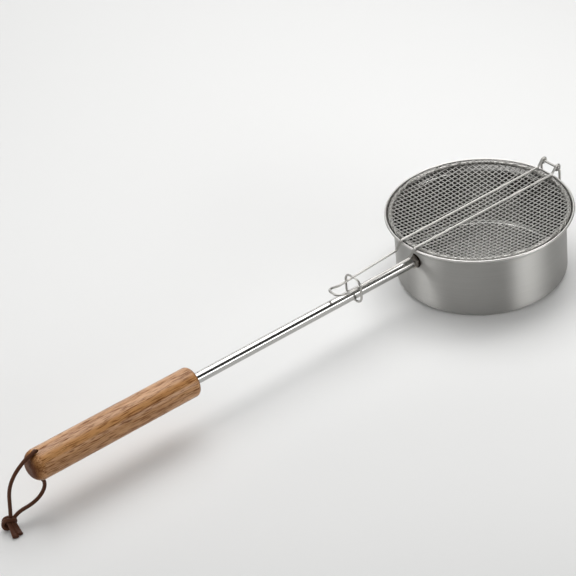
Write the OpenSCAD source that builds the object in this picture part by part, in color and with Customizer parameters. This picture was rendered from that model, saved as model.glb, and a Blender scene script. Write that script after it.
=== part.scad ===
// Long-handled campfire popcorn popper: a steel pan with a hinged lid of woven wire,
// a lock ring that slides on the handle, and a wooden grip with a leather thong.
// The origin is the middle of the pan's base. +Z is up, and the handle runs along -X.

/* [Pan] */
// Diameter of the straight wall, outside
pan_d = 156; // [140:1:170]
// Height to the top of the lip
pan_h = 66.3; // [62:0.1:75]
// Thickness of the sheet
pan_wall = 1.2; // [0.8:0.1:1.5]
// Radius between the base and the wall, outside
base_round = 7; // [4:0.5:10]
// How far the lip stands out from the wall
lip_reach = 7; // [6.5:0.1:8]
// Slope of the lip above level, in degrees
lip_slope = 45; // [40:1:48]
// Radius of the bend from the wall to the lip, inside the pan
lip_bend = 5; // [3:0.5:6]

/* [Lid] */
// Diameter of the wires of the lid's cloth
cloth_wire = 0.9; // [0.7:0.05:1.1]
// Distance between neighbouring wires of the cloth
cloth_pitch = 4.4; // [4.2:0.1:6]
// Depth of the lid's dish
lid_sag = 9.5; // [5:0.5:12]
// Diameter of the hoop inside the hem
hoop_d = 2.2; // [1.8:0.1:2.6]
// Distance from the lip's edge to the hem
hem_inset = 2.6; // [2:0.1:3.2]

/* [Lid frame] */
// Diameter of the lid frame's wire
frame_wire = 2.3; // [1.8:0.1:2.6]
// Distance between the two legs that cross the lid
leg_gap = 18; // [15:0.5:22]
// How far the drop leads outwards
drop_run = 6.5; // [5:0.5:9]
// Height of the lower run over the handle's axis, at the drop
run_rise = 13; // [12:0.5:15]
// How much lower the run is where its tip turns up
run_fall = 3.3; // [2:0.1:4]
// Length of the lower run
run_l = 68; // [60:1:80]
// Length of the turned-up tip
tip_l = 13; // [10:0.5:16]
// How far the tip turns up
tip_rise = 2.4; // [1:0.1:3]
// Distance between the wires at the tip
tip_gap = 14.8; // [14.2:0.1:15.4]

/* [Hinge] */
// Diameter of the bracket's wire
bracket_wire = 2.3; // [1.8:0.1:2.6]
// Distance from the lip's edge out to the hinge bar
hinge_reach = 4; // [3.5:0.1:6]
// Height of the hinge bar over the lid frame's legs
hinge_rise = 4.5; // [3.5:0.1:5.5]
// Length of each foot along the wall
foot_l = 12; // [8:1:16]

/* [Handle] */
// Diameter of the handle's tube
handle_d = 10; // [9:0.5:11]
// Wall of the handle's tube
handle_wall = 0.7; // [0.5:0.1:1]
// Height of the handle's axis
handle_z = 47.5; // [45:0.5:49]
// Length of tube between the boss and the grip
handle_l = 245; // [220:1:300]
// Diameter of the boss
boss_d = 12.6; // [12:0.2:14]
// Length of the boss
boss_l = 4; // [3:0.5:6]
// Length of the spigot inside the tube
spigot_l = 20; // [12:1:30]

/* [Grip] */
// Diameter at the front
grip_d = 27; // [25:0.1:30]
// How much wider the grip is at its back
grip_swell = 0.5; // [0:0.1:1]
// Length of the grip
grip_l = 167; // [150:1:180]
// Radius of the front edge
grip_front_round = 4; // [2:0.5:6]
// Radius of the back edge
grip_back_round = 10; // [6:0.5:11]
// Depth of tube inside the grip
tube_in_grip = 110; // [80:1:125]
// Diameter of the cross hole
thong_hole_d = 5; // [4.6:0.1:6]
// Distance of the cross hole from the grip's end
thong_hole_in = 9; // [7:0.5:12]

/* [Lock ring] */
// Diameter of the ring's wire
ring_wire = 2; // [1.6:0.1:2.4]
// Distance of the ring from the drop
ring_back = 57.5; // [52:0.5:60]
// Space in the ring over the lid frame
ring_headroom = 5.2; // [4.5:0.1:7]
// Space in the ring beside the lid frame
ring_side = 0.45; // [0.4:0.05:0.8]
// Radius of the ring's corners
ring_round = 7.5; // [6:0.5:8]

/* [Thong] */
// Diameter of the thong
thong_d = 3.3; // [2.6:0.1:3.4]
// Diameter of the knot
knot_d = 12; // [10:0.5:12]

/* [Hidden] */
$fn = 64;

// Clearances: between pieces that part or run, and between pieces that are fixed together
run_gap = 0.3;
fixed_gap = 0.05;
// How far a straight wire reaches into its bends, and how much thicker a bend is
bend_lap = 0.15;
bend_swell = 0.04;
// Radii of the bends in the wires
leg_bend = 4;
drop_bend = 3;
tip_start_bend = 8;
tip_bend = 6;
foot_bend = 4;
bracket_bend = 2.1;
// Only every second wire of the cloth is drawn
wire_step = 2 * cloth_pitch;

pan_r = pan_d / 2;
lip_r = pan_r + lip_reach;
// Height at which the straight wall ends and the lip's bend starts
lip_run = lip_reach + pan_wall - lip_bend * (1 - sin(lip_slope));
lip_start = pan_h - lip_run * tan(lip_slope) - lip_bend * cos(lip_slope);

// The hem is a roll of cloth round the hoop, and rests on the slope of the lip
hem_r = hoop_d / 2 + fixed_gap + cloth_wire;
hem_ring_r = lip_r - hem_inset - hem_r;
hem_z = pan_h + (hem_r + run_gap - (lip_r - hem_ring_r) * sin(lip_slope)) / cos(lip_slope);

// The cloth is a shallow bowl, cut from a sphere
cloth_r = hem_ring_r - hem_r - run_gap;
dish_r = (cloth_r * cloth_r + lid_sag * lid_sag) / (2 * lid_sag);
dish_z = hem_z + sqrt(dish_r * dish_r - cloth_r * cloth_r);
// The two sets of wires lie on either side of the sphere, with a hair between them
weave_gap = 0.16;
cloth_half = (cloth_wire + weave_gap) / 2;

// Lid frame and hinge
frame_z = hem_z + hem_r + fixed_gap + frame_wire / 2;
leg_y = leg_gap / 2;
tip_y = tip_gap / 2;
hinge_x = lip_r + hinge_reach;
hinge_z = frame_z + hinge_rise;
eye_r = bracket_wire / 2 + run_gap + frame_wire / 2;
// Slope of the wire that rises to the eye, and how far the eye goes round the bar
eye_slope = 50;
eye_wrap = 270;
eye_start_x = hinge_x - eye_r * sin(eye_slope);
eye_start_z = hinge_z + eye_r * cos(eye_slope);
leg_end_x = eye_start_x - (eye_start_z - frame_z) / tan(eye_slope);
// The drop starts just outside the lip
drop_clear = 0.5;
drop_x = -lip_r - drop_clear;
run_x = drop_x - drop_run;
run_z = handle_z + run_rise;
tip_start_x = run_x - run_l;
tip_start_z = run_z - run_fall;
tip_x = tip_start_x - tip_l;
tip_z = tip_start_z + tip_rise;

// Bracket: the feet lie on the wall below the lip, and the legs stand beside the eyes
eye_side = 0.5;
foot_below_lip = 6.5;
bracket_y = leg_y + frame_wire / 2 + eye_side + bracket_wire / 2;
foot_x = sqrt(pow(pan_r + fixed_gap + bracket_wire / 2, 2) - bracket_y * bracket_y);
foot_top = lip_start - foot_below_lip;
foot_lean = hinge_x - foot_x;

// Handle
boss_x = -pan_r - boss_l;
tube_bore = handle_d - 2 * handle_wall;
grip_x = boss_x - handle_l;
grip_end = grip_x - grip_l;
tube_end = grip_x - tube_in_grip;
thong_x = grip_end + thong_hole_in;

// Lock ring, in the plane x = ring_x, round the tube and the lower run
ring_play = 0.5;
ring_x = run_x - ring_back;
ring_share = ring_back / run_l;
ring_run_y = leg_y + (tip_y - leg_y) * ring_share;
ring_run_z = run_z - run_fall * ring_share;
ring_half = ring_run_y + frame_wire / 2 + ring_side + ring_wire / 2;
ring_top = ring_run_z + frame_wire / 2 + ring_headroom + ring_wire / 2;
ring_bottom = handle_z - handle_d / 2 - ring_play - ring_wire / 2;

// Thong: the free stretches, from the cross hole to the knot, and the cut ends
upper_route = [
    [-485, 0, 60], [-485.7, -0.7, 62], [-487.6, -1.8, 62.7], [-490.2, -2, 61.6], [-492.8, -1.5, 60.2],
    [-495.6, -1, 58.7], [-498.6, -0.7, 56.8], [-501.6, -0.5, 54.6], [-504.8, -0.4, 52], [-507.8, -0.3, 49],
    [-510.4, -0.2, 45.6], [-512.6, -0.1, 41.8], [-514.2, 0, 37.6], [-515.4, 0, 32.6], [-516.1, 0, 27],
    [-516.7, 0, 21], [-517.3, 0, 15.6], [-517.8, 0, 11.8]
];
lower_route = [
    [-485, 0, 36], [-484.3, 0, 33.5], [-483, 0, 30.8], [-482, 0, 28], [-482, 0, 25],
    [-483, 0, 22], [-485.1, 0, 19], [-488.1, 0, 16.4], [-491.8, 0, 14.5], [-496.2, 0, 13.2],
    [-501, 0, 12.6], [-506, 0, 12.3], [-510.6, 0, 11.3], [-514.6, 0, 9.2]
];
thong_low = 36;
thong_high = 59.2;
knot_at = [-519.8, 0, 6.3];
tail_starts = [[-517.6, -4.8, 4.6], [-521, -5, 4.6]];
tail_ends = [[-518.8, -12.8, 1.9], [-523.4, -13.6, 1.9]];

// Points on a round corner of an outline
function arc(center, r, from, to, steps = 12) = [
    for (i = [0:steps]) center + r * [cos(from + (to - from) * i / steps), sin(from + (to - from) * i / steps)]
];
function unit(v) = v / norm(v);
function spot(p) = [p[0], p[1], p[2]];

// Moves a shape so that its x, y and z axes lie along the given directions
module place(at, x, y) {
    z = cross(x, y);
    multmatrix([
        [x[0], y[0], z[0], at[0]],
        [x[1], y[1], z[1], at[1]],
        [x[2], y[2], z[2], at[2]],
        [0, 0, 0, 1]
    ]) children();
}

// A straight round bar
module bar(from, to, d) {
    along = unit(to - from);
    side = unit(abs(along[1]) > 0.9 ? cross([1, 0, 0], along) : cross([0, 1, 0], along));
    place(from, side, cross(along, side)) cylinder(h = norm(to - from), d = d, $fn = 32);
}

// A round wire bent to an arc: start is the direction from the centre to its start
module bent(center, start, travel, r, turn, d) {
    place(center, start, travel) rotate_extrude(angle = turn) translate([r, 0]) circle(d = d, $fn = 32);
}

// A round wire through points of the form [x, y, z, bend radius], with a round bend wherever that is over 0.
// Each straight length reaches a little way into the bends at its ends, which are a hair thicker.
module wire(points, d, closed = false) {
    count = len(points);
    lengths = closed ? count : count - 1;
    ways = [for (i = [0:lengths - 1]) unit(spot(points[(i + 1) % count]) - spot(points[i]))];
    function before(i) = ways[(i + lengths - 1) % lengths];
    turns = [for (i = [0:count - 1]) points[i][3] == 0 ? 0 : acos(before(i) * ways[i])];
    trims = [for (i = [0:count - 1]) points[i][3] * tan(turns[i] / 2)];
    laps = [for (i = [0:count - 1]) trims[i] - (points[i][3] == 0 ? 0 : bend_lap)];
    for (i = [0:lengths - 1])
        let (next = (i + 1) % count)
            bar(spot(points[i]) + ways[i] * laps[i], spot(points[next]) - ways[i] * laps[next], d);
    for (i = [0:count - 1])
        if (points[i][3] > 0)
            let (
                inwards = unit(ways[i] - before(i)),
                center = spot(points[i]) + inwards * points[i][3] / cos(turns[i] / 2),
                start = spot(points[i]) - before(i) * trims[i]
            ) bent(center, unit(start - center), before(i), points[i][3], turns[i], d + bend_swell);
}

// The same route on the other side, from its last point back to its first
function mirrored(points) = [
    for (i = [len(points) - 1:-1:0]) [points[i][0], -points[i][1], points[i][2], points[i][3]]
];

// A tube of eight sides along a route that runs close to the plane y = 0
module tube(route, d) {
    sides = 8;
    last = len(route) - 1;
    function way(i) = unit(route[min(i + 1, last)] - route[max(i - 1, 0)]);
    function out(i) = unit(cross(way(i), [0, 1, 0]));
    function ring(i) = [
        for (k = [0:sides - 1])
            route[i] + d / 2 * (cos(360 * k / sides) * out(i) + sin(360 * k / sides) * cross(way(i), out(i)))
    ];
    points = [for (i = [0:last]) each ring(i)];
    function next(k) = (k + 1) % sides;
    walls = [
        for (i = [0:last - 1], k = [0:sides - 1]) each [
            [i * sides + k, (i + 1) * sides + k, (i + 1) * sides + next(k)],
            [i * sides + k, (i + 1) * sides + next(k), i * sides + next(k)]
        ]
    ];
    caps = [
        for (k = [1:sides - 2]) each [
            [0, k, k + 1],
            [last * sides, last * sides + k + 1, last * sides + k]
        ]
    ];
    polyhedron(points, concat(walls, caps));
}

// Pan: base, wall and flared lip, turned from one outline
module pan_body() {
    lip_turn = 90 - lip_slope;
    outer = concat(
        [[0, 0]],
        arc([pan_r - base_round, base_round], base_round, -90, 0),
        arc([pan_r + lip_bend - pan_wall, lip_start], lip_bend - pan_wall, 180, 180 - lip_turn),
        [[lip_r + pan_wall * sin(lip_slope), pan_h - pan_wall * cos(lip_slope)]]
    );
    inner = concat(
        [[lip_r, pan_h]],
        arc([pan_r + lip_bend - pan_wall, lip_start], lip_bend, 180 - lip_turn, 180),
        arc([pan_r - base_round, base_round], base_round - pan_wall, 0, -90),
        [[0, pan_wall]]
    );
    color("lightsteelblue") rotate_extrude($fn = 128) polygon(concat(outer, inner));
}

// Boss: welded to the wall, with a spigot that the tube is driven on
module handle_boss() {
    color("dimgray") difference() {
        union() {
            bar([boss_x, 0, handle_z], [-pan_r + boss_l, 0, handle_z], boss_d);
            bar([boss_x - spigot_l, 0, handle_z], [boss_x, 0, handle_z], tube_bore - 2 * fixed_gap);
        }
        cylinder(h = pan_h, r = pan_r + fixed_gap, $fn = 128);
    }
}

module handle_tube() {
    color("silver") difference() {
        bar([tube_end, 0, handle_z], [boss_x - fixed_gap, 0, handle_z], handle_d);
        bar([tube_end - 1, 0, handle_z], [boss_x + 1, 0, handle_z], tube_bore);
    }
}

// Grip: turned, with a blind bore for the tube and a cross hole for the thong
module grip() {
    front_r = grip_d / 2;
    back_r = front_r + grip_swell / 2;
    outline = concat(
        [[0, 0]],
        arc([front_r - grip_front_round, grip_front_round], grip_front_round, -90, 0),
        arc([back_r - grip_back_round, grip_l - grip_back_round], grip_back_round, 0, 90),
        [[0, grip_l]]
    );
    color("peru") difference() {
        translate([grip_x, 0, handle_z]) rotate([0, -90, 0]) rotate_extrude($fn = 96) polygon(outline);
        bar([tube_end - 1, 0, handle_z], [grip_x + 1, 0, handle_z], handle_d + 2 * fixed_gap);
        translate([thong_x, 0, handle_z - grip_d]) cylinder(h = 2 * grip_d, d = thong_hole_d);
    }
}

// Bracket: a staple whose bar is the hinge pin
module hinge_bracket() {
    side = [
        [foot_x, bracket_y, foot_top - foot_l, 0],
        [foot_x, bracket_y, foot_top, foot_bend],
        [hinge_x, bracket_y, foot_top + foot_lean, foot_bend],
        [hinge_x, bracket_y, hinge_z, bracket_bend]
    ];
    color("silver") wire(concat(side, mirrored(side)), bracket_wire);
}

// Lid frame: one wire from eye to eye
module lid_frame() {
    rising = [cos(eye_slope), 0, sin(eye_slope)];
    side = [
        [eye_start_x + bend_lap * rising[0], leg_y, eye_start_z + bend_lap * rising[2], 0],
        [leg_end_x, leg_y, frame_z, leg_bend],
        [drop_x, leg_y, frame_z, drop_bend],
        [run_x, leg_y, run_z, drop_bend],
        [tip_start_x, tip_y, tip_start_z, tip_start_bend],
        [tip_x, tip_y, tip_z, tip_bend]
    ];
    color("gainsboro") union() {
        wire(concat(side, mirrored(side)), frame_wire);
        for (y = [-leg_y, leg_y]) bent(
            [hinge_x, y, hinge_z], [-sin(eye_slope), 0, cos(eye_slope)], rising,
            eye_r, eye_wrap, frame_wire + bend_swell
        );
    }
}

module lid_hoop() {
    color("gray") translate([0, 0, hem_z]) rotate_extrude($fn = 128) translate([hem_ring_r, 0]) circle(d = hoop_d);
}

// Hem: the cloth's edge rolled round the hoop, open where the cloth comes in
module lid_hem() {
    color("gainsboro") translate([0, 0, hem_z]) rotate_extrude($fn = 128) translate([hem_ring_r, 0]) difference() {
        circle(r = hem_r);
        circle(r = hem_r - cloth_wire);
        translate([-2 * hem_r, -cloth_wire]) square([2 * hem_r, 2 * cloth_wire]);
    }
}

// One set of the cloth's wires, along the direction way, each an arc on a sphere
module cloth_wires(way, across, r) {
    count = floor(cloth_r / wire_step - 0.1);
    for (i = [-count:count])
        let (
            offset = i * wire_step,
            wire_r = sqrt(r * r - offset * offset),
            half = asin(sqrt(cloth_r * cloth_r - offset * offset) / wire_r)
        ) bent(
            across * offset + [0, 0, dish_z],
            -sin(half) * way - [0, 0, cos(half)],
            cos(half) * way - [0, 0, sin(half)],
            wire_r, 2 * half, cloth_wire
        );
}

module lid_warp_wires() {
    color("lightgray") cloth_wires([1, 0, 0], [0, 1, 0], dish_r + cloth_half);
}

module lid_weft_wires() {
    color("darkgray") cloth_wires([0, 1, 0], [1, 0, 0], dish_r - cloth_half);
}

// Lock ring: an upright oblong of wire, closed under the tube
module lock_ring() {
    color("silver") wire([
        [ring_x, ring_half, ring_bottom, ring_round],
        [ring_x, ring_half, ring_top, ring_round],
        [ring_x, -ring_half, ring_top, ring_round],
        [ring_x, -ring_half, ring_bottom, ring_round]
    ], ring_wire, closed = true);
}

module thong_in_grip() {
    color("saddlebrown") bar([thong_x, 0, thong_low], [thong_x, 0, thong_high], thong_d);
}

module thong_upper() {
    color("saddlebrown") tube(upper_route, thong_d);
}

module thong_lower() {
    color("saddlebrown") tube(lower_route, thong_d);
}

// Knot: a round lump of thong
module thong_knot() {
    color("saddlebrown") translate(knot_at) rotate_extrude() intersection() {
        circle(d = knot_d);
        translate([0, -knot_d / 2]) square([knot_d, knot_d]);
    }
}

module thong_tails() {
    color("saddlebrown") for (i = [0, 1]) bar(tail_starts[i], tail_ends[i], thong_d);
}

pan_body();
handle_boss();
handle_tube();
grip();
hinge_bracket();
lid_frame();
lid_hoop();
lid_hem();
lid_warp_wires();
lid_weft_wires();
lock_ring();
thong_in_grip();
thong_upper();
thong_lower();
thong_knot();
thong_tails();
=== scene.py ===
"""Looks of a long-handled campfire popcorn popper, built round its CAD model.

The pan stands on the floor at the origin, +Z is up, the handle runs along -X and the lid's hinge is at +X.
"""

import math

import bpy
from mathutils import Matrix, Vector


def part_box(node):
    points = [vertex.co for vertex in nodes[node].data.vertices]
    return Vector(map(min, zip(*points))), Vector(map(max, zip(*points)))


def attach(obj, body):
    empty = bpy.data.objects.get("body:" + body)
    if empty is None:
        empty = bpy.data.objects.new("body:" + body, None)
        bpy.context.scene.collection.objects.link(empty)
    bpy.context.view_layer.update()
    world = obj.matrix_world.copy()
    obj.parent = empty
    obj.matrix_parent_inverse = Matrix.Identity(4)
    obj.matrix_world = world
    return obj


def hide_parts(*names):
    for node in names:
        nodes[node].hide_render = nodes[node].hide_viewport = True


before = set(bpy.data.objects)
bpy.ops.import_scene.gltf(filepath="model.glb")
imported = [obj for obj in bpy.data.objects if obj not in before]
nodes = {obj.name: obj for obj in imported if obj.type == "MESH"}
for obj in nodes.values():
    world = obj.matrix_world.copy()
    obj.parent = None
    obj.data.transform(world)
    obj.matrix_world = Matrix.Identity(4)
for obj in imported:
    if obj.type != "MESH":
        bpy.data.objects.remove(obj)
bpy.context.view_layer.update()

# Pan
# Deep-drawn from stainless sheet, with a rounded base and a lip that flares to carry the lid and ends in a
# rolled edge. Outside, it was brushed while it turned in a lathe, so fine scratches run round the axis.
MM = 0.001
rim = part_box("pan_body")[1]
sheet = 1.2 * MM
wall_r = 78 * MM
base_round = 7 * MM
lip_slope = 45
lip_bend = 5 * MM
lip_edge_r = rim.x - sheet * math.sin(math.radians(lip_slope))
bead_r = 1.1 * MM
pan_segments = 256
base_shares = (0.2, 0.4, 0.6, 0.8)
base_steps = 16
wall_rows = 8
bend_steps = 10
bead_steps = 24


def arc(centre, radius, start, end, steps):
    """Points on an arc, as (radius, height), with its angles in degrees."""
    angles = [math.radians(start + (end - start) * i / steps) for i in range(steps + 1)]
    return [(centre[0] + radius * math.cos(a), centre[1] + radius * math.sin(a)) for a in angles]


def new_piece(name, verts, faces, sharp_angle=50):
    """A mesh object in the scene, shaded smooth apart from edges sharper than an angle in degrees."""
    mesh = bpy.data.meshes.new(name)
    mesh.from_pydata(verts, [], faces)
    mesh.shade_smooth()
    mesh.set_sharp_from_angle(angle=math.radians(sharp_angle))
    piece = bpy.data.objects.new(name, mesh)
    bpy.context.scene.collection.objects.link(piece)
    return piece


def turned(name, outline, segments):
    """A piece turned round the z axis.

    Its outline is a list of (radius, height) that starts and ends on the axis.
    """
    rings = outline[1:-1]
    last = len(rings) - 1
    verts = []
    for radius, height in rings:
        for k in range(segments):
            angle = math.tau * k / segments
            verts.append((radius * math.cos(angle), radius * math.sin(angle), height))
    faces = []
    for i in range(last):
        for k in range(segments):
            after = (k + 1) % segments
            row, above = i * segments, (i + 1) * segments
            faces.append((row + k, row + after, above + after, above + k))
    for ring, height, flip in ((0, outline[0][1], True), (last, outline[-1][1], False)):
        pole = len(verts)
        verts.append((0, 0, height))
        for k in range(segments):
            pair = (ring * segments + k, ring * segments + (k + 1) % segments)
            faces.append((pole, *pair[::-1]) if flip else (pole, *pair))
    return new_piece(name, verts, faces)


lip_turn = 90 - lip_slope
lip_run = lip_edge_r - wall_r + sheet - lip_bend * (1 - math.sin(math.radians(lip_slope)))
lip_rise = lip_run * math.tan(math.radians(lip_slope)) + lip_bend * math.cos(math.radians(lip_slope))
lip_start = rim.z - lip_rise
bend_centre = (wall_r + lip_bend - sheet, lip_start)
base_centre = (wall_r - base_round, base_round)
bead_centre = Vector((rim.x - bead_r, rim.z - bead_r))
bead_open = 180 - math.degrees(math.asin(sheet / 2 / bead_r))
pan_outline = [
    (0, 0),
    *[(wall_r * share, 0) for share in base_shares],
    *arc(base_centre, base_round, -90, 0, base_steps),
    *[(wall_r, base_round + (lip_start - base_round) * i / wall_rows) for i in range(1, wall_rows)],
    *arc(bend_centre, lip_bend - sheet, 180, 180 - lip_turn, bend_steps),
    *arc(bead_centre, bead_r, lip_slope - bead_open, lip_slope + bead_open, bead_steps),
    *arc(bend_centre, lip_bend, 180 - lip_turn, 180, bend_steps),
    *[(wall_r - sheet, lip_start + (base_round - lip_start) * i / wall_rows) for i in range(1, wall_rows)],
    *arc(base_centre, base_round - sheet, 0, -90, base_steps),
    *[((wall_r - base_round) * share, sheet) for share in reversed(base_shares)],
    (0, sheet),
]
pan = turned("pan", pan_outline, pan_segments)


def srgb(code):
    """Linear colour of an sRGB hex value."""
    parts = [int(code[i:i + 2], 16) / 255 for i in (1, 3, 5)]
    return (*[c / 12.92 if c <= 0.04045 else ((c + 0.055) / 1.055) ** 2.4 for c in parts], 1)


def add(tree, kind, inputs=None, **settings):
    """Adds a node, with its settings, and sets or links its inputs."""
    node = tree.nodes.new(kind)
    for name, value in settings.items():
        setattr(node, name, value)
    for key, value in (inputs or {}).items():
        if isinstance(value, bpy.types.NodeSocket):
            tree.links.new(value, node.inputs[key])
        else:
            node.inputs[key].default_value = value
    return node


def new_material(name):
    """An empty material, and its node tree with a Principled shader."""
    material = bpy.data.materials.new(name)
    material.use_nodes = True
    return material, material.node_tree, material.node_tree.nodes["Principled BSDF"]


# Stainless steel, satin-brushed in the round: the scratches smear each reflection up and down the wall,
# so the eye sees soft upright bands of light and dark. They are drawn coarser than the real 0.1 mm to show.
scratch_pitch = 0.4 * MM
scratch_length = 45 * MM
cloud_size = 35 * MM
satin_steel, tree, shader = new_material("satin_brushed_stainless")
place = add(tree, "ShaderNodeTexCoord").outputs["Object"]
axes = add(tree, "ShaderNodeSeparateXYZ", {0: place})
flat = add(tree, "ShaderNodeCombineXYZ", {0: axes.outputs[0], 1: axes.outputs[1]})
from_axis = add(tree, "ShaderNodeVectorMath", {0: flat.outputs[0]}, operation="LENGTH")
across = add(tree, "ShaderNodeMath", {0: from_axis.outputs["Value"], 1: axes.outputs[2]}, operation="ADD")
across = add(tree, "ShaderNodeMath", {
    0: across.outputs[0], 1: scratch_length / scratch_pitch,
}, operation="MULTIPLY")
round_axis = add(tree, "ShaderNodeCombineXYZ", {
    0: axes.outputs[0], 1: axes.outputs[1], 2: across.outputs[0],
})
scratches = add(tree, "ShaderNodeTexNoise", {
    "Vector": round_axis.outputs[0], "Scale": 1 / scratch_length, "Detail": 3,
})
clouds = add(tree, "ShaderNodeTexNoise", {"Vector": place, "Scale": 1 / cloud_size, "Detail": 2})
tone = add(tree, "ShaderNodeMix", {
    "Factor": scratches.outputs[0], "A": srgb("#A9A8A5"), "B": srgb("#B7B6B3"),
}, data_type="RGBA")
rough = add(tree, "ShaderNodeMapRange", {"Value": clouds.outputs[0], "To Min": 0.44, "To Max": 0.51})
bump = add(tree, "ShaderNodeBump", {
    "Height": scratches.outputs[0], "Strength": 0.05, "Distance": 0.03 * MM,
})
around = add(tree, "ShaderNodeTangent", direction_type="RADIAL", axis="Z")
for socket, source in (
    ("Base Color", tone.outputs["Result"]), ("Roughness", rough.outputs[0]),
    ("Normal", bump.outputs[0]), ("Tangent", around.outputs[0]),
):
    tree.links.new(source, shader.inputs[socket])
shader.inputs["Metallic"].default_value = 1
shader.inputs["Anisotropic"].default_value = 0.9
shader.inputs["Anisotropic Rotation"].default_value = 0.25
pan.data.materials.append(satin_steel)

# The rolled edge is buffed, so it catches the light as one clear line. Its tone is a painted highlight:
# lighter than the walls, though it is the same sheet.
rub_size = 6 * MM
buffed_edge_steel_painted_highlight, tree, shader = new_material("buffed_stainless_edge_painted_highlight")
place = add(tree, "ShaderNodeTexCoord").outputs["Object"]
rub = add(tree, "ShaderNodeTexNoise", {"Vector": place, "Scale": 1 / rub_size, "Detail": 2})
rough = add(tree, "ShaderNodeMapRange", {"Value": rub.outputs[0], "To Min": 0.32, "To Max": 0.42})
tone = add(tree, "ShaderNodeMix", {
    "Factor": rub.outputs[0], "A": srgb("#BDBBB8"), "B": srgb("#CBC9C6"),
}, data_type="RGBA")
tree.links.new(tone.outputs["Result"], shader.inputs["Base Color"])
tree.links.new(rough.outputs[0], shader.inputs["Roughness"])
shader.inputs["Metallic"].default_value = 1
pan.data.materials.append(buffed_edge_steel_painted_highlight)

# Inside, the walls keep the smooth skin that the press gave them, so they mirror what is round them, softly
smear_size = 20 * MM
drawn_steel, tree, shader = new_material("drawn_stainless_inside")
place = add(tree, "ShaderNodeTexCoord").outputs["Object"]
smears = add(tree, "ShaderNodeTexNoise", {"Vector": place, "Scale": 1 / smear_size, "Detail": 2})
tone = add(tree, "ShaderNodeMix", {
    "Factor": smears.outputs[0], "A": srgb("#ACABA8"), "B": srgb("#B9B8B5"),
}, data_type="RGBA")
tree.links.new(tone.outputs["Result"], shader.inputs["Base Color"])
shader.inputs["Metallic"].default_value = 1
shader.inputs["Roughness"].default_value = 0.2
pan.data.materials.append(drawn_steel)

# The flat base was brushed in the round, which spreads each reflection across the scratches. Its tone is
# painted shade: darker than the walls, though it is the same sheet.
spun_base_steel_painted_shade, tree, shader = new_material("spun_stainless_base_painted_shade")
place = add(tree, "ShaderNodeTexCoord").outputs["Object"]
smears = add(tree, "ShaderNodeTexNoise", {"Vector": place, "Scale": 1 / smear_size, "Detail": 2})
tone = add(tree, "ShaderNodeMix", {
    "Factor": smears.outputs[0], "A": srgb("#959491"), "B": srgb("#A1A09D"),
}, data_type="RGBA")
around = add(tree, "ShaderNodeTangent", direction_type="RADIAL", axis="Z")
tree.links.new(tone.outputs["Result"], shader.inputs["Base Color"])
tree.links.new(around.outputs[0], shader.inputs["Tangent"])
shader.inputs["Metallic"].default_value = 1
shader.inputs["Roughness"].default_value = 0.27
shader.inputs["Anisotropic"].default_value = 0.9
shader.inputs["Anisotropic Rotation"].default_value = 0.25
pan.data.materials.append(spun_base_steel_painted_shade)

# Each face takes the finish of its place: the edge, the flat base inside, the walls inside or the outside
edge_finish, inside_finish, base_finish = 1, 2, 3
flat_base_top = 1.05 * sheet
for face in pan.data.polygons:
    spot = Vector((math.hypot(face.center.x, face.center.y), face.center.z))
    inward = face.normal.x * face.center.x + face.normal.y * face.center.y < 1e-6
    if (spot - bead_centre).length < bead_r:
        face.material_index = edge_finish
    elif inward and spot.y > sheet / 2:
        face.material_index = base_finish if spot.y < flat_base_top else inside_finish
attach(pan, "pan")
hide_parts("pan_body")

# Boss
# A short steel collar, welded to the pan's wall, that the tube is driven on.
# The weld's heat tint left it dark brown, and painted shade makes it blackest next to the wall.
boss_low, boss_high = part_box("handle_boss")
handle_z = (boss_low.z + boss_high.z) / 2
boss_r = (boss_high.z - boss_low.z) / 2
tint_and_shade_length = 3.5 * MM
mottle_size = 1.6 * MM
tint_and_painted_shade_steel, tree, shader = new_material("heat_tint_and_painted_shade_steel")
place = add(tree, "ShaderNodeTexCoord").outputs["Object"]
axes = add(tree, "ShaderNodeSeparateXYZ", {0: place})
# Painted shade over the heat tint: the steel darkens towards the wall, blackest where the boss meets it
tint_and_shade_near_wall = add(tree, "ShaderNodeMapRange", {
    "Value": axes.outputs[0], "From Min": -wall_r - tint_and_shade_length, "From Max": -wall_r,
})
mottle = add(tree, "ShaderNodeTexNoise", {"Vector": place, "Scale": 1 / mottle_size, "Detail": 3})
tint_and_shade = add(tree, "ShaderNodeMath", {0: tint_and_shade_near_wall.outputs[0], 1: mottle.outputs[0]}, operation="ADD")
tint_and_shade = add(tree, "ShaderNodeMapRange", {"Value": tint_and_shade.outputs[0], "From Min": 0.6, "From Max": 1.3})
tone = add(tree, "ShaderNodeMix", {
    "Factor": tint_and_shade.outputs[0], "A": srgb("#97928B"), "B": srgb("#2B231D"),
}, data_type="RGBA")
bump = add(tree, "ShaderNodeBump", {"Height": mottle.outputs[0], "Strength": 0.2, "Distance": 0.1 * MM})
tree.links.new(tone.outputs["Result"], shader.inputs["Base Color"])
tree.links.new(bump.outputs[0], shader.inputs["Normal"])
shader.inputs["Metallic"].default_value = 1
shader.inputs["Roughness"].default_value = 0.36
nodes["handle_boss"].data.materials.clear()
nodes["handle_boss"].data.materials.append(tint_and_painted_shade_steel)


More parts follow.
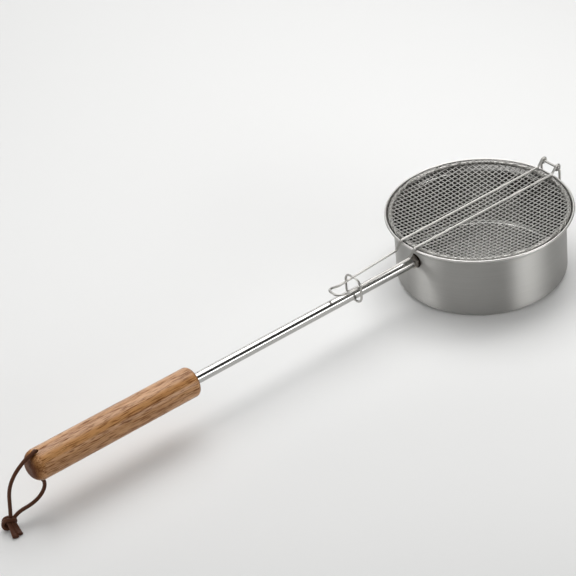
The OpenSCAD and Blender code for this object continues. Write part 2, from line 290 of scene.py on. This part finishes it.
def tube(line, radius, sides, closed=False, side=None, flat=1):
    """Vertices and faces of a wire along a line of points, with one radius or one for each point.

    It is cut flat at both ends unless it is closed.
    With a side, its section is flat times as thick across it.
    """
    count = len(line)
    last = count - 1
    radii = radius if isinstance(radius, list) else [radius] * count
    ways = []
    for i in range(count):
        ahead = line[(i + 1) % count] if closed else line[min(i + 1, last)]
        behind = line[i - 1] if closed else line[max(i - 1, 0)]
        ways.append((ahead - behind).normalized())
    side = side - side.project(ways[0]) if side else ways[0].orthogonal()
    side.normalize()
    verts = []
    for i, (spot, way) in enumerate(zip(line, ways)):
        if i:
            side = ways[i - 1].rotation_difference(way) @ side
        other = way.cross(side) * flat
        for k in range(sides):
            angle = math.tau * k / sides
            verts.append(spot + radii[i] * (math.cos(angle) * side + math.sin(angle) * other))
    faces = []
    if not closed:
        faces = [tuple(range(sides))[::-1], tuple(range(last * sides, count * sides))]
    for i in range(count if closed else last):
        row, above = i * sides, (i + 1) % count * sides
        for k in range(sides):
            after = (k + 1) % sides
            faces.append((row + k, row + after, above + after, above + k))
    return verts, faces


# The weld runs round the boss where it meets the curved wall
weld_r = 0.6 * MM
weld_steps = 72
weld_sides = 10
weld_line = []
for k in range(weld_steps):
    angle = math.tau * k / weld_steps
    y, z = boss_r * math.cos(angle), boss_r * math.sin(angle)
    weld_line.append(Vector((-math.sqrt(wall_r ** 2 - y ** 2), y, handle_z + z)))
weld = new_piece("boss_weld", *tube(weld_line, weld_r, weld_sides, closed=True))
# The weld takes the same heat tint and painted shade next to the wall
weld.data.materials.append(tint_and_painted_shade_steel)
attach(weld, "pan")

# Tube
# Thin stainless tube, driven on the boss at the pan's end and into the grip at the other. It is polished,
# so it shows long, clear streaks of the lights and of the floor. Draw lines are wider than real, to show.
draw_pitch = 0.8 * MM
draw_length = 120 * MM
polished_steel, tree, shader = new_material("polished_stainless")
place = add(tree, "ShaderNodeTexCoord").outputs["Object"]
stretch = add(tree, "ShaderNodeMapping", {
    "Vector": place, "Scale": (1 / draw_length, 1 / draw_pitch, 1 / draw_pitch),
})
lines = add(tree, "ShaderNodeTexNoise", {"Vector": stretch.outputs[0], "Scale": 1, "Detail": 2})
rough = add(tree, "ShaderNodeMapRange", {"Value": lines.outputs[0], "To Min": 0.14, "To Max": 0.22})
tone = add(tree, "ShaderNodeMix", {
    "Factor": lines.outputs[0], "A": srgb("#AFAEAB"), "B": srgb("#BCBBB8"),
}, data_type="RGBA")
tree.links.new(tone.outputs["Result"], shader.inputs["Base Color"])
tree.links.new(rough.outputs[0], shader.inputs["Roughness"])
shader.inputs["Metallic"].default_value = 1
nodes["handle_tube"].data.materials.clear()
nodes["handle_tube"].data.materials.append(polished_steel)

# Grip
# Turned from ash and bored for the tube, with a cross hole for the thong near its round end.
# It is pressed on the tube.

# Ash, sanded and oiled: oil darkens the open pores to short streaks along the grain, over slow bands of
# growth rings, and soaks deepest into the end grain. Streaks are drawn wider than real pores, to show.
band_width = 6 * MM
band_length = 70 * MM
pore_width = 0.6 * MM
pore_length = 11 * MM
fleck_width = 1.2 * MM
fleck_length = 9 * MM
oiled_ash, tree, shader = new_material("oiled_ash")
place = add(tree, "ShaderNodeTexCoord").outputs["Object"]
grain = {}
for name, length, width, detail in (
    ("bands", band_length, band_width, 2),
    ("pores", pore_length, pore_width, 3),
    ("flecks", fleck_length, fleck_width, 2),
):
    stretch = add(tree, "ShaderNodeMapping", {"Vector": place, "Scale": (1 / length, 1 / width, 1 / width)})
    noise = add(tree, "ShaderNodeTexNoise", {"Vector": stretch.outputs[0], "Scale": 1, "Detail": detail})
    grain[name] = noise.outputs[0]
bands = add(tree, "ShaderNodeMapRange", {"Value": grain["bands"], "From Min": 0.35, "From Max": 0.65})
pore_bias = add(tree, "ShaderNodeMath", {
    0: bands.outputs[0], 1: 0.06, 2: grain["pores"],
}, operation="MULTIPLY_ADD")
pores = add(tree, "ShaderNodeMapRange", {"Value": pore_bias.outputs[0], "From Min": 0.54, "From Max": 0.64})
flecks = add(tree, "ShaderNodeMapRange", {
    "Value": grain["flecks"], "From Min": 0.52, "From Max": 0.75, "To Max": 0.35,
})
normal = add(tree, "ShaderNodeNewGeometry").outputs["Normal"]
along = add(tree, "ShaderNodeSeparateXYZ", {0: normal})
end_grain = add(tree, "ShaderNodeMath", {0: along.outputs[0]}, operation="ABSOLUTE")
end_grain = add(tree, "ShaderNodeMapRange", {
    "Value": end_grain.outputs[0], "From Min": 0.3, "From Max": 0.9, "To Max": 0.9,
})
oil_shine = add(tree, "ShaderNodeMapRange", {
    "Value": end_grain.outputs[0], "From Max": 0.5, "To Min": 1, "To Max": 0,
})
pore_dull = add(tree, "ShaderNodeMath", {0: pores.outputs[0], 1: -0.9, 2: 1}, operation="MULTIPLY_ADD")
oil_shine = add(tree, "ShaderNodeMath", {
    0: oil_shine.outputs[0], 1: pore_dull.outputs[0],
}, operation="MULTIPLY")
wood = srgb("#C18B53")
for factor, colour in (
    (bands, "#AC7742"), (flecks, "#D6AA74"), (pores, "#76471E"), (end_grain, "#4A220E"),
):
    wood = add(tree, "ShaderNodeMix", {
        "Factor": factor.outputs[0], "A": wood, "B": srgb(colour),
    }, data_type="RGBA").outputs["Result"]
rough = add(tree, "ShaderNodeMapRange", {"Value": pores.outputs[0], "To Min": 0.42, "To Max": 0.58})
bump = add(tree, "ShaderNodeBump", {
    "Height": pores.outputs[0], "Strength": 0.3, "Distance": 0.15 * MM,
}, invert=True)
tree.links.new(wood, shader.inputs["Base Color"])
tree.links.new(rough.outputs[0], shader.inputs["Roughness"])
tree.links.new(bump.outputs[0], shader.inputs["Normal"])
tree.links.new(oil_shine.outputs[0], shader.inputs["Coat Weight"])
shader.inputs["Coat Roughness"].default_value = 0.34
shader.inputs["Specular IOR Level"].default_value = 0.15
nodes["grip"].data.materials.clear()
nodes["grip"].data.materials.append(oiled_ash)

# Hinge bracket, lid frame, hoop and lock ring
# All bent from stainless wire. The bracket's feet are welded to the wall, and the frame's legs to the lid's
# edge. The frame's eyes turn on the bracket's bar, and the ring slides over its tip to keep the lid shut.

# Drawn bright, so a soft line of light runs along each wire. Lines of the die are wider than real, to show
wire_line_pitch = 0.5 * MM
wire_line_length = 25 * MM
bright_wire, tree, shader = new_material("bright_drawn_stainless_wire")
place = add(tree, "ShaderNodeTexCoord").outputs["Object"]
stretch = add(tree, "ShaderNodeMapping", {
    "Vector": place, "Scale": (1 / wire_line_length, 1 / wire_line_pitch, 1 / wire_line_pitch),
})
lines = add(tree, "ShaderNodeTexNoise", {"Vector": stretch.outputs[0], "Scale": 1, "Detail": 2})
rough = add(tree, "ShaderNodeMapRange", {"Value": lines.outputs[0], "To Min": 0.28, "To Max": 0.36})
tone = add(tree, "ShaderNodeMix", {
    "Factor": lines.outputs[0], "A": srgb("#A8A6A2"), "B": srgb("#B8B6B2"),
}, data_type="RGBA")
tree.links.new(tone.outputs["Result"], shader.inputs["Base Color"])
tree.links.new(rough.outputs[0], shader.inputs["Roughness"])
shader.inputs["Metallic"].default_value = 1
for name in ("hinge_bracket", "lid_frame", "lid_hoop", "lock_ring"):
    nodes[name].data.materials.clear()
    nodes[name].data.materials.append(bright_wire)

# Wire cloth
# A round of plain-woven stainless wire, pressed to a shallow dish. Its edge is rolled round the hoop from
# below, over the outside and back on top, so every wire runs on into the hem.
hoop_low, hoop_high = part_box("lid_hoop")
hoop_z = (hoop_low.z + hoop_high.z) / 2
hoop_r = (hoop_high.z - hoop_low.z) / 2
hoop_ring_r = hoop_high.x - hoop_r
cloth_wire_r = 0.45 * MM
cloth_pitch = 4.4 * MM
weave_half = 0.95 * MM
dish_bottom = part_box("lid_warp_wires")[0].z + weave_half
weave_height = 0.16 * MM
roll_gap = 0.05 * MM
roll_r = hoop_r + cloth_wire_r + roll_gap
roll_turn = math.radians(275)
cloth_steps = 4
cloth_sides = 6
edge_lean = 2 * math.atan((hoop_z - roll_r - dish_bottom) / hoop_ring_r)
edge_angle = edge_lean - math.pi / 2
dish_edge = Vector((hoop_ring_r + roll_r * math.cos(edge_angle), hoop_z + roll_r * math.sin(edge_angle)))
dish_sag = dish_edge.y - dish_bottom
dish_r = (dish_edge.x ** 2 + dish_sag ** 2) / (2 * dish_sag)
cloth_r = dish_edge.x + roll_r * roll_turn


def on_cloth(u, v, share):
    """Place of a point of the flat cloth, raised by a share of the weave's height.

    It is raised to the side that faces up in the dish.
    """
    distance = math.hypot(u, v)
    if distance <= dish_edge.x:
        lean = math.asin(distance / dish_r)
        out, up = -math.sin(lean), math.cos(lean)
        radius, height = distance, dish_bottom + dish_r * (1 - math.cos(lean))
    else:
        angle = edge_angle + (distance - dish_edge.x) / roll_r
        out, up = -math.cos(angle), -math.sin(angle)
        radius, height = hoop_ring_r - roll_r * out, hoop_z - roll_r * up
    radius += out * weave_height * share
    height += up * weave_height * share
    return Vector((radius * u / max(distance, 1e-9), radius * v / max(distance, 1e-9), height))


cloth_verts, cloth_faces = [], []
cloth_count = math.floor(cloth_r / cloth_pitch)
for i in range(-cloth_count, cloth_count + 1):
    offset = i * cloth_pitch
    half = math.sqrt(cloth_r ** 2 - offset ** 2)
    steps = math.floor(half / cloth_pitch * cloth_steps)
    if steps < 1:
        continue
    for lengthwise in (True, False):
        line = []
        for k in range(-steps, steps + 1):
            along = k * cloth_pitch / cloth_steps
            wave = math.cos(math.pi * (k / cloth_steps + i))
            if lengthwise:
                line.append(on_cloth(along, offset, wave))
            else:
                line.append(on_cloth(offset, along, -wave))
        verts, faces = tube(line, cloth_wire_r, cloth_sides)
        cloth_faces += [tuple(len(cloth_verts) + n for n in face) for face in faces]
        cloth_verts += verts
cloth = new_piece("wire_cloth", cloth_verts, cloth_faces, sharp_angle=75)

# Woven stainless wire: drawn bright, then dulled by the loom and the press, so each wire shines softly
dull_size = 9 * MM
woven_wire, tree, shader = new_material("woven_stainless_wire")
place = add(tree, "ShaderNodeTexCoord").outputs["Object"]
dull = add(tree, "ShaderNodeTexNoise", {"Vector": place, "Scale": 1 / dull_size, "Detail": 2})
rough = add(tree, "ShaderNodeMapRange", {"Value": dull.outputs[0], "To Min": 0.48, "To Max": 0.56})
tone = add(tree, "ShaderNodeMix", {
    "Factor": dull.outputs[0], "A": srgb("#ACAAA6"), "B": srgb("#BDBBB7"),
}, data_type="RGBA")
tree.links.new(tone.outputs["Result"], shader.inputs["Base Color"])
tree.links.new(rough.outputs[0], shader.inputs["Roughness"])
shader.inputs["Metallic"].default_value = 0.55
cloth.data.materials.append(woven_wire)
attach(cloth, "lid")
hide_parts("lid_warp_wires", "lid_weft_wires", "lid_hem")

# Thong
# A round leather lace through the grip's cross hole, with its two ends tied in one overhand knot.
# It hangs from the hole to the floor, where the knot and the cut ends lie.
thong_r = 1.65 * MM
thong_sides = 16
upper_route = [
    (-485, 0, 48), (-485, 0, 54), (-485, 0, 58), (-485, 0, 60), (-485.7, -0.7, 62),
    (-487.6, -1.8, 62.7), (-490.2, -2, 61.6), (-492.8, -1.5, 60.2), (-495.6, -1, 58.7), (-498.6, -0.7, 56.8),
    (-501.6, -0.5, 54.6), (-504.8, -0.4, 52), (-507.8, -0.3, 49), (-510.4, -0.2, 45.6), (-512.6, -0.1, 41.8),
    (-514.2, 0, 37.6), (-515.4, 0, 32.6), (-516.1, 0, 27), (-516.7, 0, 21), (-517.3, 0, 15.6),
    (-517.8, 0, 11.8), (-518.2, 0, 9),
]
lower_route = [
    (-485, 0, 48), (-485, 0, 42), (-485, 0, 36), (-484.3, 0, 33.5), (-483, 0, 30.8), (-482, 0, 28),
    (-482, 0, 25), (-483, 0, 22), (-485.1, 0, 19), (-488.1, 0, 16.4), (-491.8, 0, 14.5), (-496.2, 0, 13.2),
    (-501, 0, 12.6), (-506, 0, 12.3), (-510.6, 0, 11.3), (-514.6, 0, 9.2), (-516.6, 0, 8),
]


def smooth_line(points, steps):
    """A smooth line through points given in millimetres, with a number of steps between each two."""
    spots = [Vector(p) * MM for p in points]
    spots = [2 * spots[0] - spots[1], *spots, 2 * spots[-1] - spots[-2]]
    line = []
    for a, b, c, d in zip(spots, spots[1:], spots[2:], spots[3:]):
        for k in range(steps):
            t = k / steps
            bend = (2 * a - 5 * b + 4 * c - d) * t ** 2 + (3 * b - a - 3 * c + d) * t ** 3
            line.append((2 * b + (c - a) * t + bend) / 2)
    return [*line, spots[-2]]


# The knot, as points to the right, upwards and to the front of its middle, seen from the grip's side
knot_low, knot_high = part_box("thong_knot")
knot_middle = (knot_low + knot_high) / 2
knot_front = Vector((-0.48, -0.67, 0.57)).normalized()
knot_right = Vector((0.81, -0.58, 0)).normalized()
knot_up = knot_front.cross(knot_right)
knot_routes = [
    [
        (3, -1, -3.6), (4.8, 1.2, -1.2), (4.4, 2.4, 1.8), (1.6, 2.7, 3.8), (-1.8, 2.5, 3.9),
        (-4.2, 1.2, 2.6), (-5.1, -1.2, 1.2), (-4.3, -3.4, 1), (-2.2, -4.4, 0.4), (0.2, -3.6, -0.8),
        (1.6, -2, -2.4),
    ],
    [
        (2.6, -0.4, -4.3), (4.4, 2.6, -2.4), (2.6, 4.4, 0.6), (-0.8, 4.6, 1.4), (-3.6, 3.5, 0.6),
        (-4.9, 1.5, -1), (-4.8, -1.2, -1.8), (-3.4, -3, -2), (-1, -3.2, -2.6),
    ],
    [(2.4, 3.2, -1.8), (0.8, 1.8, -0.8), (-1.2, 0.2, -0.6), (-2.4, -1.2, -0.6), (-2.6, -2.6, -1.4)],
]
tail_routes = [
    [
        (-518.6, 1.4, 8.4), (-518, -0.6, 8.4), (-517.6, -3, 7), (-517.6, -5.4, 5), (-517.9, -8, 3.2),
        (-518.4, -10.6, 2.2), (-518.8, -12.8, 1.9),
    ],
    [
        (-520.6, 1, 8.2), (-520.8, -1, 8), (-520.8, -3.2, 6.6), (-521.2, -5.8, 4.6), (-521.9, -8.6, 3),
        (-522.7, -11.2, 2.1), (-523.4, -13.6, 1.9),
    ],
]
strap_start_r = 2 * MM
strap_end_r = 2.9 * MM
strap_flat = 0.55
route_steps = 4
knot_steps = 6


def strands(name, lines, radius, **section):
    """One piece made of several strands of thong."""
    all_verts, all_faces = [], []
    for line in lines:
        verts, faces = tube(line, radius, thong_sides, **section)
        all_faces += [tuple(len(all_verts) + n for n in face) for face in faces]
        all_verts += verts
    return new_piece(name, all_verts, all_faces)


knot_lines = []
for route in knot_routes:
    spots = [knot_middle / MM + a * knot_right + b * knot_up + c * knot_front for a, b, c in route]
    knot_lines.append(smooth_line(spots, knot_steps))
upper_line = smooth_line(upper_route, route_steps)
lower_line = smooth_line(lower_route, route_steps)
upper = strands("thong_upper_lace", [upper_line], thong_r)
lower = strands("thong_lower_lace", [lower_line], thong_r)
knot = strands("thong_knot_bands", knot_lines, thong_r)
tail_lines = [smooth_line(route, route_steps) for route in tail_routes]
strap_steps = len(tail_lines[0]) - 1
strap_growth = (strap_end_r - strap_start_r) / strap_steps
strap_radii = [strap_start_r + strap_growth * i for i in range(strap_steps + 1)]
tails = strands("thong_cut_ends", tail_lines, strap_radii, side=Vector((1, 0, 0)), flat=strap_flat)

# Leather, dyed through and waxed: dark brown and soft-glossy, with a fine grain and paler, worn ridges
grain_size = 0.6 * MM
wear_size = 5 * MM
waxed_leather, tree, shader = new_material("waxed_leather")
place = add(tree, "ShaderNodeTexCoord").outputs["Object"]
grain = add(tree, "ShaderNodeTexNoise", {"Vector": place, "Scale": 1 / grain_size, "Detail": 3})
wear = add(tree, "ShaderNodeTexNoise", {"Vector": place, "Scale": 1 / wear_size, "Detail": 2})
tone = add(tree, "ShaderNodeMix", {
    "Factor": grain.outputs[0], "A": srgb("#2E180D"), "B": srgb("#55311E"),
}, data_type="RGBA")
tone = add(tree, "ShaderNodeMix", {
    "Factor": wear.outputs[0], "A": tone.outputs["Result"], "B": srgb("#5A3420"),
}, data_type="RGBA")
bump = add(tree, "ShaderNodeBump", {"Height": grain.outputs[0], "Strength": 0.3, "Distance": 0.15 * MM})
tree.links.new(tone.outputs["Result"], shader.inputs["Base Color"])
tree.links.new(bump.outputs[0], shader.inputs["Normal"])
shader.inputs["Roughness"].default_value = 0.52
shader.inputs["Specular IOR Level"].default_value = 0.2
for piece, stands_for in (
    (upper, ("thong_upper", "thong_in_grip")), (lower, ("thong_lower",)),
    (knot, ("thong_knot",)), (tails, ("thong_tails",)),
):
    piece.data.materials.append(waxed_leather)
    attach(piece, "pan")
    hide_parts(*stands_for)

# Studio
# A pale floor under a large softbox, with a small one at the hinge's side, a weaker one in front, and low
# panels behind, to the left and to the right that streak the polished steel.
scene = bpy.context.scene
scene.view_settings.view_transform = "Standard"
floor_half = 6
floor_mesh = bpy.data.meshes.new("floor")
floor_corners = [(x * floor_half, y * floor_half, 0) for x, y in ((-1, -1), (1, -1), (1, 1), (-1, 1))]
floor_mesh.from_pydata(floor_corners, [], [(0, 1, 2, 3)])
floor = bpy.data.objects.new("floor", floor_mesh)
scene.collection.objects.link(floor)
matte_floor, tree, shader = new_material("matte_pale_floor")
shader.inputs["Base Color"].default_value = srgb("#E3E3E2")
shader.inputs["Roughness"].default_value = 0.9
shader.inputs["Specular IOR Level"].default_value = 0.1
floor.data.materials.append(matte_floor)

world = bpy.data.worlds.new("studio")
scene.world = world
world.use_nodes = True
world.node_tree.nodes["Background"].inputs["Color"].default_value = srgb("#FFFFFF")
world.node_tree.nodes["Background"].inputs["Strength"].default_value = 0.06


def softbox(name, spot, aim, width, height, brightness, spread=180):
    """A soft rectangular lamp at a spot, aimed at a point, in metres. A brightness of 1 looks white.

    A spread below 180 degrees is a grid on it: it looks as bright from the front, and dimmer from the side.
    """
    half = math.radians(spread) / 2
    grid_share = math.sin(half) ** 2 - (half - math.sin(2 * half) / 2) / math.tan(half)
    light = bpy.data.lights.new(name, "AREA")
    light.shape = "RECTANGLE"
    light.size, light.size_y = width, height
    light.spread = 2 * half
    light.energy = brightness * math.pi * width * height * grid_share
    lamp = bpy.data.objects.new(name, light)
    lamp.location = spot
    lamp.rotation_euler = (Vector(aim) - Vector(spot)).to_track_quat("-Z", "Y").to_euler()
    lamp.visible_camera = False
    scene.collection.objects.link(lamp)


softbox("top_softbox", (0.18, 0.5, 1.42), (-0.15, 0, 0.03), 1.4, 1.4, 3.4)
softbox("front_softbox", (-1.02, -0.4, 1.17), (-0.1, 0, 0.03), 2, 0.9, 1)
softbox("side_softbox", (0.75, 0.1, 1.3), (0, 0, 0.03), 0.6, 0.6, 4, spread=60)
softbox("back_panel", (0.8, 1.4, 0.45), (0, 0, 0.05), 2, 0.6, 2)
softbox("right_panel", (0.37, -0.82, 0.25), (0.16, 0, 0.05), 0.9, 0.27, 8.6, spread=70)
softbox("left_panel", (-1.2, 0.48, 0.22), (0, 0, 0.05), 0.85, 0.3, 7.2, spread=70)

# The camera looks from above the grip's side, as the photograph does
camera_azimuth = math.radians(-35.58)
camera_elevation = math.radians(34.45)
camera_roll = math.radians(-5.875)
camera_distance = 2.0529
camera_aim = Vector((-0.21955, 0, 0.08839))
lens_mm = 150.67
sensor_mm = 36
back = Vector((
    math.sin(camera_azimuth) * math.cos(camera_elevation),
    -math.cos(camera_azimuth) * math.cos(camera_elevation),
    math.sin(camera_elevation),
))
camera_data = bpy.data.cameras.new("photo_camera")
camera_data.sensor_width = sensor_mm
camera_data.lens = lens_mm
camera_data.clip_start = 0.05
camera_data.clip_end = 50
camera = bpy.data.objects.new("photo_camera", camera_data)
scene.collection.objects.link(camera)
camera.location = camera_aim + back * camera_distance
turn = (-back).to_track_quat("-Z", "Y").to_matrix() @ Matrix.Rotation(camera_roll, 3, "Z")
camera.rotation_euler = turn.to_euler()
scene.camera = camera

bpy.context.view_layer.update()
